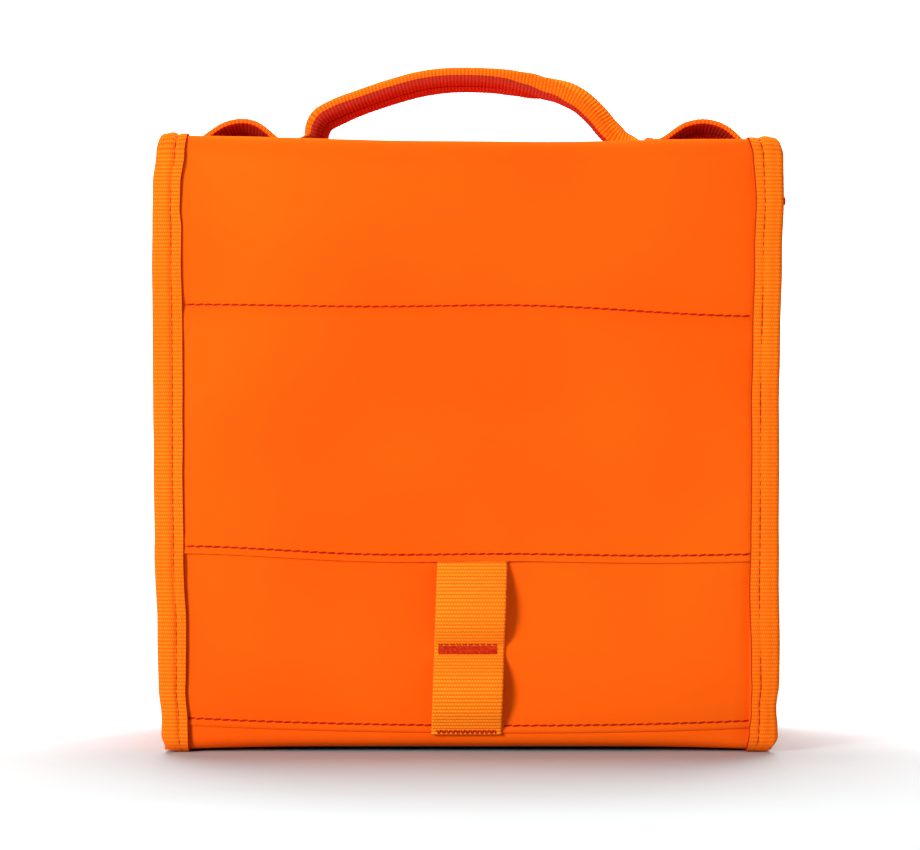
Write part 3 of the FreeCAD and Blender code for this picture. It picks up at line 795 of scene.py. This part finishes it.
# ---------------------------------------------------------------- edge bindings
def tape_section(count=9):
    """The folded tape's section: shares of its cover width from the inner edge, rise above the sheet.

    It goes from the inner edge over the outer leg, round the fold and back along the inner leg.
    """
    outside, inside = 0.8 * MM, -4.2 * MM
    fold = (outside - inside) / 2
    section = []
    for share in spread(0, 1, count + 7):
        groove = 0.55 * MM * bump_at(share, 0.42, 0.07)
        puff = 0.45 * MM * math.sin(math.pi * min(max((share - 0.42) / 0.5, 0), 1))
        section.append((share, None, outside, puff - groove))
    for step in range(1, count):
        angle = math.pi / 2 - math.pi * step / count
        section.append((1.0, math.cos(angle), (outside + inside) / 2 + fold * math.sin(angle), 0.0))
    for share in spread(1, 0.06, 4):
        section.append((share, None, inside, 0.0))
    return section, fold


def tape_lift(x, spot):
    """The tape follows the sheet: up at the front fold and in a little below the hem."""
    below = 1 - ease(spot.y, HEM - 8 * MM, HEM - 1 * MM)
    near_front = 1 - ease(spot.x, FRONT, FRONT + 8 * MM)
    drawn_in = 0.6 * MM * below * near_front * ease(spot.y, BASE, BASE + 8 * MM)
    return fold_lift(x, spot.x, spot.y) - drawn_in


def tape_leg(side, spot, fold):
    """Where the tape's flat leg starts and ends across the face."""
    inner = edge_x(side, spot.x, spot.y, corners=False) - cover_width(side, spot.x, spot.y)
    return inner, edge_x(side, spot.x, spot.y) - fold * TAPE_CORNER


def bind(name, side, corners, radius, steps):
    """Ribbed tape folded over a bound edge that follows a route in the y-z plane."""
    route = Route(rounded(corners, radius))
    section, fold = tape_section()
    run = [0.0]
    for first, second in zip(section, section[1:]):
        flat = (second[0] - first[0]) * (EDGE_X - SIDE_X)
        run.append(run[-1] + max(math.hypot(flat, second[2] - first[2]), 0.6 * MM))

    def place(c, s):
        share, bow, height, puff = section[min(range(len(run)), key=lambda i: abs(run[i] - c))]
        spot = route.point(s)
        out = route.normal(s, 1.0 * MM)
        inner, leg = tape_leg(side, spot, fold)
        x = inner + (leg - inner) * share
        if bow is not None:
            x = leg + fold * TAPE_CORNER * bow
        grounded = ease(spot.y, BASE, BASE + 8 * MM)
        wave = 0.22 * MM * noise.noise(Vector((side * 5, spot.x * 60, spot.y * 60)))
        lift = height + (puff + wave if height > 0 else 0) * grounded + tape_lift(x * side, spot)
        x += wave * 1.6 * grounded * (1 - share * 0.3)
        return Vector((x, spot.x + out.x * lift, spot.y + out.y * lift))

    bm = grid(run, spread(0, route.length, steps), place)
    piece = finish_mesh(bm, name, EDGE_WEBBING, mirror=side < 0)
    thicken(piece, TAPE)

    def seam_spot(s):
        spot = route.point(s)
        out = route.normal(s, 1.0 * MM)
        inner, leg = tape_leg(side, spot, fold)
        x = (inner + (leg - inner) * (0.40 if side > 0 else 0.44)) * side
        grounded = ease(spot.y, BASE, BASE + 8 * MM)
        lift = (0.6 - 0.3 * grounded) * MM + tape_lift(x, spot)
        return Vector((x, spot.x + out.x * lift, spot.y + out.y * lift)), Vector((0, out.x, out.y))

    rows = thread_row(f"{name}_stitching", row_along(seam_spot, 1 * MM, route.length - 2 * MM),
                      THREAD, radius=0.24 * MM)
    return piece, rows


def edge_bindings():
    split_y = FRONT + 14 * MM
    for name, side in (("left", -1), ("right", 1)):
        lower = bind(f"binding_rear_{name}", side, [(REAR, MOUTH), (REAR, BASE), (split_y, BASE)],
                     FOLD_RADIUS, 420)
        for piece in lower:
            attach(piece, "pouch")
        corners = [(split_y, BASE), (FRONT, BASE), (FRONT, TOP), (STRAP_Y, TOP)]
        front = bind(f"binding_front_{name}", side, corners, FOLD_RADIUS, 460)
        for piece in front:
            fold_front(piece)
        flap = bind(f"binding_flap_{name}", side,
                    [(STRAP_Y, TOP), (FLAP, TOP), (FLAP, FLAP_LOW - 1 * MM)], FOLD_RADIUS, 240)
        for piece in flap:
            fold_rear(piece)
        if side > 0:
            knot = Vector((115.0 * MM, FRONT + 0.6 * MM, 200.5 * MM))
            spots = [(knot, Vector((0, 0, 1)), Vector((1, 0, 0)))]
            tail = thread_row("binding_thread_end", spots, THREAD, radius=0.55 * MM)
            settle(tail, "pouch", "thread")
        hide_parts(f"edge_binding_{name}")
        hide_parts(f"cover_binding_{name}", f"flap_binding_{name}")


# ---------------------------------------------------------------- seams on the front
def front_seams():
    """Topstitching of the quilting line, the hem and the lower lapped edge."""
    lines = (
        ("quilting_stitches", quilt_z, FRONT),
        ("hem_stitches", lambda x: hem_z(x) + STITCH_BACK, FRONT),
        ("foot_stitches", lambda x: foot_z(x) + STITCH_BACK, LOWER),
    )
    for name, level, plane in lines:
        def point_at(x):
            return front_spot(x, level(x), plane)
        spots = row_along(point_at, -102.5 * MM, 102.5 * MM, lift=0.1 * MM)
        tilted = []
        for number, (place, way, up) in enumerate(spots):
            if name == "foot_stitches" and abs(place.x) < STRAP_HALF:
                continue
            tilt = 0.11 + 0.05 * math.sin(number * 2.3)
            tilted.append((place, way + Vector((0, 0, tilt * way.length)), up))
        settle(thread_row(name, tilted, THREAD), "pouch", "thread")


# ---------------------------------------------------------------- webbing
def ladder():
    """Two open loops of webbing under the hem, with a satin bar between them and one at the foot."""
    # Fixed (height, distance from the panel) in millimetres, which don't follow the frame.
    knots = [(73, 0.8), (70, 1.6), (66.5, 3.2), (60, 6.0), (53, 7.4), (46.5, 6.2), (41.7, 3.4),
             (39.8, 1.7), (37.4, 1.3), (35.1, 1.6), (32.4, 3.4), (28, 6.0), (22, 6.9), (15.5, 5.2),
             (11.2, 2.7), (8.6, 1.3), (6.8, 1.2)]
    face = LOWER - 0.9 * MM
    route = Route(flowing([(z * MM, away * MM) for z, away in reversed(knots)]))
    low, high = route.points[0].x, route.points[-1].x

    def to_space(across, spot):
        lean = 2.3 * MM * (spot.x - low) / (high - low) - 0.7 * MM
        return Vector((across + lean, face - spot.y, spot.x))

    section = ring(STRAP_HALF * 2, WEBBING, 0.7 * MM)
    piece = strap("ladder", LADDER_WEBBING, route, section, to_space)
    settle(piece, "pouch", "webbing", "ladder_strap")

    def bar(centre, shift, rise, count, lean):
        spots = []
        for number, x in enumerate(spread(-10.4 * MM, 10.4 * MM, count)):
            tilt = lean if number % 2 else -lean
            place = Vector((x + shift, face - rise, centre))
            spots.append((place, Vector((tilt, 0, 1)), Vector((0, -1, 0))))
        return spots

    middle = bar(37.5 * MM, -0.2 * MM, 2.2 * MM, 56, 0.05)
    teeth = bar(39.9 * MM, -0.2 * MM, 2.75 * MM, 19, 0.5)
    foot = bar(8.0 * MM, -0.7 * MM, 2.1 * MM, 24, 0.35)
    bars = (("ladder_bar", middle, 3.5 * MM), ("ladder_bar_teeth", teeth, 1.5 * MM),
            ("ladder_foot_bar", foot, 1.9 * MM))
    for name, spots, height in bars:
        rows = thread_row(name, spots, BAR_THREAD, length=height, radius=0.42 * MM)
        settle(rows, "pouch", "thread", *(["ladder_bar_tacks"] if name == "ladder_bar" else []))


def upright(across, spot):
    """Webbing that runs along x over the cover: its width lies along y."""
    return Vector((spot.x, STRAP_Y - across, spot.y))


# Fixed (place across, height) in millimetres and (place across, lean in degrees), which don't follow
# the frame.
LEFT_LOOP = [(-103.8, 224.6), (-99.8, 227.0), (-96, 229.0), (-91.5, 231.0), (-86, 231.8), (-81, 230.9),
             (-76.7, 229.0), (-72.8, 226.9), (-69, 225.8), (-62.4, 225.4)]
RIGHT_LOOP = [(62.6, 225.4), (69.5, 225.6), (75, 226.9), (79.8, 228.9), (84.3, 230.8), (89.3, 231.8),
              (94.5, 231.3), (98.7, 229.6), (103, 226.6), (105.3, 224.6)]
HANDLE_LINE = [(-71, 227.2), (-66, 227.1), (-61.4, 226.9), (-58.9, 227.5), (-57.9, 229.8),
               (-57.2, 232.7), (-55.6, 235.5), (-52.2, 237.7), (-43.8, 241.4), (-30, 246.2),
               (-17.3, 249.6), (-5.1, 251.0), (8.3, 250.8), (17, 249.9), (27.4, 248.2), (36, 246.3),
               (42.1, 243.5), (46.1, 240.3), (49.8, 236.6), (53.2, 232.5), (57.2, 229.0),
               (62.2, 227.3), (66.8, 227.1), (72, 227.2)]
HANDLE_LEAN = [(-66, 0), (-60, 12), (-57, 18), (-50, 18), (-40, 15), (-20, 15), (2, 13), (14, 12),
               (22, 6), (31, -8), (40, -20), (54, -21), (62, -17), (69, 0)]


def end_loops():
    """Open loops of the top webbing beside each binding, their front edges a little high."""
    for name, knots in (("left", LEFT_LOOP), ("right", RIGHT_LOOP)):
        route = Route(flowing([(x * MM, z * MM) for x, z in knots]))
        low, high = knots[0][0] * MM, knots[-1][0] * MM

        def roll(x, low=low, high=high):
            share = min(max((x - low) / (high - low), 0), 1)
            inward = 1 - share if low > 0 else share
            return math.radians(13 - 11 * ease(inward, 0.5, 0.85)) * math.sin(math.pi * share)

        piece = strap(f"loop_{name}", LOOP_WEBBING, route, LOOP_SECTION, upright, roll)
        settle(piece, "cover", "webbing", f"end_loop_{name}")


def handle():
    """Webbing folded in on itself and arched, its front edge high and its right leg twisted back."""
    route = Route(flowing([(x * MM, z * MM) for x, z in HANDLE_LINE]))

    def roll(x):
        return math.radians(through([(place * MM, lean) for place, lean in HANDLE_LEAN], x))

    def open_out(x):
        return ease(abs(x), 56 * MM, 63 * MM) - 0.6 * bump_at(x, 28 * MM, 13 * MM)

    piece = strap("grab_handle", HANDLE_WEBBING, route, HANDLE_SECTION, upright, roll, 0.8 * MM,
                  open_out)
    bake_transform(piece)
    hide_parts("handle")
    spots = []
    for middle in (-67.8 * MM, 68.8 * MM):
        for number, y in enumerate(spread(-9 * MM, 9 * MM, 26)):
            tilt = 0.35 if number % 2 else -0.35
            place = Vector((middle, STRAP_Y + y, 228.0 * MM))
            spots.append((place, Vector((1, tilt, 0)), Vector((0, 0, 1))))
    rows = thread_row("handle_bars", spots, BAR_THREAD, length=3.2 * MM)
    settle(rows, "cover", "thread", "handle_bar_tacks")


def pull_tab():
    """A folded webbing tab under the flap's hem."""
    low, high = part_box("pull_tab")
    centre = (low[1] + high[1]) / 2
    tall = high[2]
    half, bulge = 1.0 * MM, 1.4 * MM
    knots = [(tall, centre - half), (low[2] + 6 * MM, centre - half), (low[2] + 2 * MM, centre - bulge),
             (low[2] + 0.3 * MM, centre), (low[2] + 2 * MM, centre + bulge),
             (low[2] + 6 * MM, centre + half), (tall, centre + half)]
    route = Route(flowing(knots))

    def to_space(across, spot):
        return Vector((across, spot.y, spot.x))

    section = ring(25 * MM, 1.5 * MM, 0.6 * MM)
    piece = strap("pull_tab_webbing", LADDER_WEBBING, route, section, to_space)
    settle(piece, "flap", "webbing", "pull_tab")


# ---------------------------------------------------------------- flap hem, mouth and inside
def folded_tape(name, route, to_space, gap, cover, steps, material=None):
    """Tape folded over an edge: two legs of cover length either side of a gap, swept along a route."""
    half = gap / 2
    turn = 7
    section = [(-cover + cover * t, half) for t in spread(0, 1, 6)]
    for step in range(1, turn):
        angle = math.pi / 2 - math.pi * step / turn
        section.append((half * 0.75 * math.cos(angle), half * math.sin(angle)))
    section += [(-cover * t, -half) for t in spread(0, 1, 6)]
    girth = Route([Vector(point) for point in section])

    def place(c, s):
        offset = girth.point(c)
        return to_space(offset, route.point(s), route.normal(s, 1.0 * MM))

    bm = grid(girth.run, spread(0, route.length, steps), place)
    bmesh.ops.recalc_face_normals(bm, faces=bm.faces)
    piece = finish_mesh(bm, name, material or EDGE_WEBBING)
    thicken(piece, TAPE)
    return piece


def flap_hem():
    """The flap's lower edge, bound like its sides."""
    low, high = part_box("flap_hem_binding")
    centre = (low[1] + high[1]) / 2
    gap = high[1] - low[1]
    route = Route([Vector((-SIDE_X - 1.5 * MM, 0)), Vector((SIDE_X + 1.5 * MM, 0))])

    def to_space(offset, spot, out):
        bow = 0.8 * MM * (1 - min(abs(spot.x) / SIDE_X, 1.0) ** 4)
        return Vector((spot.x, centre + bow + offset.y, low[2] - offset.x))

    piece = folded_tape("flap_hem_tape", route, to_space, gap, 10.6 * MM, 160)
    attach(piece, "flap")
    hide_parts("flap_hem_binding")

    def point_at(x):
        bow = 0.8 * MM * (1 - min(abs(x) / SIDE_X, 1.0) ** 4)
        return Vector((x, high[1] + bow, low[2] + 6.5 * MM)), Vector((0, 1, 0))

    rows = thread_row("flap_hem_stitches", row_along(point_at, -101 * MM, 101 * MM), THREAD)
    settle(rows, "flap", "thread")


def mouth_tape():
    """Tape over the rim of the left, rear and right walls."""
    inside_x = -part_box("mouth_binding_left")[1][0]
    outside_x = -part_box("mouth_binding_left")[0][0]
    inside_y, outside_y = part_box("mouth_binding_rear")[0][1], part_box("mouth_binding_rear")[1][1]
    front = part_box("mouth_binding_left")[0][1]
    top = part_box("mouth_binding_left")[1][2]
    x, y = (inside_x + outside_x) / 2, (inside_y + outside_y) / 2
    gap = outside_x - inside_x
    route = Route(rounded([(-x, front), (-x, y), (x, y), (x, front)], 7 * MM))

    def to_space(offset, spot, out):
        place = spot + out * offset.y
        return Vector((place.x, place.y, top - 1.6 * MM + offset.x * 0.9))

    piece = folded_tape("mouth_tape", route, to_space, gap, 10 * MM, 260)
    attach(piece, "pouch")
    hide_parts("mouth_binding_left", "mouth_binding_rear", "mouth_binding_right")


def liner_tub():
    """The welded tub with soft corners."""
    low, high = (Vector(corner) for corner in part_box("liner"))
    bm = block(low, high)
    top = [face for face in bm.faces if face.normal.z > 0.5]
    bmesh.ops.delete(bm, geom=top, context="FACES_ONLY")
    edges = [edge for edge in bm.edges if not edge.is_boundary]
    soften(bm, edges, 7 * MM, segments=5)
    bmesh.ops.subdivide_edges(bm, edges=bm.edges, cuts=5, use_grid_fill=True)
    for vert in bm.verts:
        if vert.co.z < high.z - 4 * MM:
            centre = Vector((0, 0, vert.co.z))
            inward = (centre - vert.co)
            inward.z = 0
            give = 0.6 * MM * (1 + noise.noise(vert.co * 22))
            if inward.length > 1 * MM:
                vert.co += inward.normalized() * give
    piece = finish_mesh(bm, "liner_tub", LINING)
    thicken(piece, SHEET * 0.7)
    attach(piece, "pouch")
    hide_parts("liner")


def swell(piece, pressure, cap, voxel):
    """Puff a closed pad with cloth under pressure, and keep every point within cap of where it was."""
    remesh = piece.modifiers.new("even", "REMESH")
    remesh.mode = "VOXEL"
    remesh.voxel_size = voxel
    apply_modifiers(piece)
    rest = [vert.co.copy() for vert in piece.data.vertices]
    cloth = piece.modifiers.new("cloth", "CLOTH")
    cloth.settings.use_pressure = True
    cloth.settings.uniform_pressure_force = pressure
    cloth.settings.effector_weights.gravity = 0
    cloth.settings.quality = 5
    cloth.point_cache.frame_start = 1
    cloth.point_cache.frame_end = 20
    for number in range(1, 21):
        bpy.context.scene.frame_set(number)
    apply_modifiers(piece)
    bpy.context.scene.frame_set(1)
    for vert, start in zip(piece.data.vertices, rest):
        moved = vert.co - start
        if moved.length > cap:
            vert.co = start + moved.normalized() * cap
    piece.data.polygons.foreach_set("use_smooth", [True] * len(piece.data.polygons))
    return piece


def padded_lining(name, node, axis, body, foam):
    """Lining over foam on the inside of the cover or the flap: a thin crowned pad with soft edges."""
    low, high = (Vector(corner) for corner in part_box(node))
    foam_low, foam_high = (Vector(corner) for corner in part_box(foam))
    other = 3 - axis
    low.x, high.x = foam_low.x - 0.5 * MM, foam_high.x + 0.5 * MM
    low[other], high[other] = foam_low[other], foam_high[other]
    high[axis] -= 1.6 * MM
    low[axis] += 1.0 * MM
    bm = block(low, high)
    soften(bm, bm.edges, min(high - low) * 0.42)
    piece = finish_mesh(bm, name, LINING)
    swell(piece, 3.0, 1.0 * MM, 2.6 * MM)
    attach(piece, body)
    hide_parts(node, foam)


def fold_linings():
    """Lining that carries on across the two folds inside."""
    half = 93 * MM
    strips = (
        ("front_fold_lining", [(-56.7, 203), (-56.9, 210), (-58.4, 214.8), (-61.2, 217.6),
                               (-61.4, 220.2), (-59.4, 221.7)], fold_front, "liner_tub"),
        ("rear_fold_lining", [(62.6, 221.5), (66.2, 221.4), (69.0, 219.6), (69.5, 216.4)], fold_rear,
         "wrap_rear"),
    )
    for name, points, fold, under in strips:
        route = Route(flowing([(y * MM, z * MM) for y, z in points]))

        def place(a, s, route=route):
            spot = route.point(s)
            return Vector((a, spot.x, spot.y))

        bm = grid(spread(-half, half, 40), spread(0, route.length, 26), place)
        piece = finish_mesh(bm, name, LINING)
        thicken(piece, SHEET * 0.6)
        fold(piece)


def hidden_boards():
    """Foam boards and the base board inside the walls."""
    thin = 1.4 * MM
    walls = {
        "front_foam_upper": (6 * MM, thin, 1 * MM),
        "front_foam_middle": (6 * MM, thin, 1 * MM),
        "front_foam_lower": (8 * MM, thin, 1 * MM),
        "rear_foam": (4 * MM, thin, 1 * MM),
        "left_foam": (thin, 1 * MM, 1 * MM),
        "right_foam": (thin, 1 * MM, 1 * MM),
        "base_foam": (4 * MM, 3 * MM, 0.6 * MM),
    }
    for node, inset in walls.items():
        piece = board(f"{node}_board", node, FOAM, inset, 0.7 * MM)
        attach(piece, "pouch")
        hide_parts(node)


def repaint():
    """Finishes for the frame's own nodes that keep their shape."""
    for node, material in (("base_board", STIFF), ("hook_tape", GRIP), ("loop_tape", GRIP)):
        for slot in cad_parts[node].material_slots:
            slot.material = material


# ---------------------------------------------------------------- floor, light and camera
def backdrop():
    """A glowing white screen behind the floor."""
    screen = Finish("white_screen", roughness=0.9)
    screen.colour(screen.mix(screen.noise(20, 2), (0.90, 0.90, 0.90), (0.92, 0.92, 0.92)))
    screen.shader.inputs["Emission Color"].default_value = (1, 1, 1, 1)
    screen.shader.inputs["Emission Strength"].default_value = 1.1
    bm = bmesh.new()
    turn = Matrix.Translation((0, 2.2, 1.9)) @ Matrix.Rotation(math.pi / 2, 4, "X")
    bmesh.ops.create_grid(bm, x_segments=1, y_segments=1, size=2.0, matrix=turn)
    finish_mesh(bm, "backdrop", screen.material)


def studio():
    bm = bmesh.new()
    bmesh.ops.create_grid(bm, x_segments=1, y_segments=1, size=6)
    paper = Finish("paper_floor", roughness=0.9, specular=0.0)
    paper.colour(paper.mix(paper.noise(30, 2), (0.56, 0.59, 0.595), (0.58, 0.61, 0.615)))
    floor = finish_mesh(bm, "floor", paper.material)
    backdrop()
    scene = bpy.context.scene
    scene.view_settings.view_transform = "Standard"
    world = bpy.data.worlds.new("studio")
    world.use_nodes = True
    world.node_tree.nodes["Background"].inputs[0].default_value = (1, 1, 1, 1)
    world.node_tree.nodes["Background"].inputs[1].default_value = 0.13
    scene.world = world
    centre = Vector((0, 0, 0.11))
    for name, place, size, power in (
        ("key", (-0.82, -1.20, 0.40), 0.40, 20.2),
        ("fill", (1.1, -1.0, 0.30), 1.0, 3.5),
        ("top", (0.0, 0.45, 1.3), 0.9, 27.0),
        ("back", (0.0, 1.5, 1.2), 1.6, 27.0),
    ):
        light = bpy.data.lights.new(name, "AREA")
        light.energy = power
        light.size = size
        lamp = bpy.data.objects.new(name, light)
        lamp.location = place
        lamp.rotation_mode = "QUATERNION"
        aim = Vector((0, 1.2, 0)) if name == "back" else centre
        lamp.rotation_quaternion = (aim - Vector(place)).to_track_quat("-Z", "Y")
        scene.collection.objects.link(lamp)
    camera = bpy.data.cameras.new("view")
    camera.lens = 140
    camera.sensor_width = 36
    eye = bpy.data.objects.new("view", camera)
    aside, distance, height = -3.0 * MM, 1.3, 119.2 * MM
    eye.location = (aside, FRONT - distance, height)
    eye.rotation_euler = (math.pi / 2, 0, 0)
    scene.collection.objects.link(eye)
    scene.camera = eye


studio()
wrap_front()
wrap_rear()
lower_panel()
base_sheet()
rear_sheet()
gusset("left", -1)
gusset("right", 1)
edge_bindings()
front_seams()
ladder()
end_loops()
handle()
pull_tab()
flap_hem()
mouth_tape()
liner_tub()
padded_lining("cover_pad", "cover_lining", 2, "cover", "cover_foam")
padded_lining("flap_pad", "flap_lining", 1, "flap", "flap_foam")
fold_linings()
hidden_boards()
repaint()
